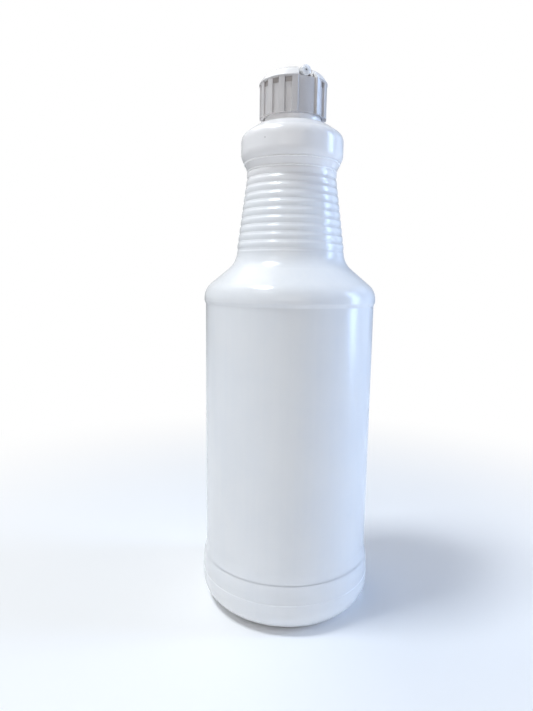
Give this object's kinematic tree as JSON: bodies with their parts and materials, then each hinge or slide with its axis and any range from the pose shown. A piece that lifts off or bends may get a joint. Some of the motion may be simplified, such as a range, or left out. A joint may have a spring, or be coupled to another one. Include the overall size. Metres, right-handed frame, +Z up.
{
  "type": "spotting bottle",
  "caption": "Round white blown bottle with a long ringed neck, a ribbed screw cap and a small spout that swings up out of the cap to pour drops.",
  "frame": {"origin": "centre of the ring that the bottle stands on", "axes": "+Z up along the bottle, -Y the way the shut spout points"},
  "size_m": [0.087, 0.087, 0.2643],
  "materials": {
    "bottle": "white blown polyethylene, softly glossy",
    "cap": "white moulded polypropylene, glossy",
    "spout": "white moulded polypropylene, glossy"
  },
  "bodies": {
    "bottle": {"bottle": "bottle"},
    "cap": {"cap": "cap"},
    "spout": {"spout": "spout"}
  },
  "joints": [
    {"name": "cap_lift", "type": "slide", "parent": "bottle", "child": "cap", "axis": [0, 0, 1], "range_m": [0, 0.04]},
    {"name": "spout_swing", "type": "hinge", "parent": "cap", "child": "spout", "pos_m": [0, 0, 0.26109], "axis": [-1, 0, 0], "range_deg": [0, 90]}
  ]
}
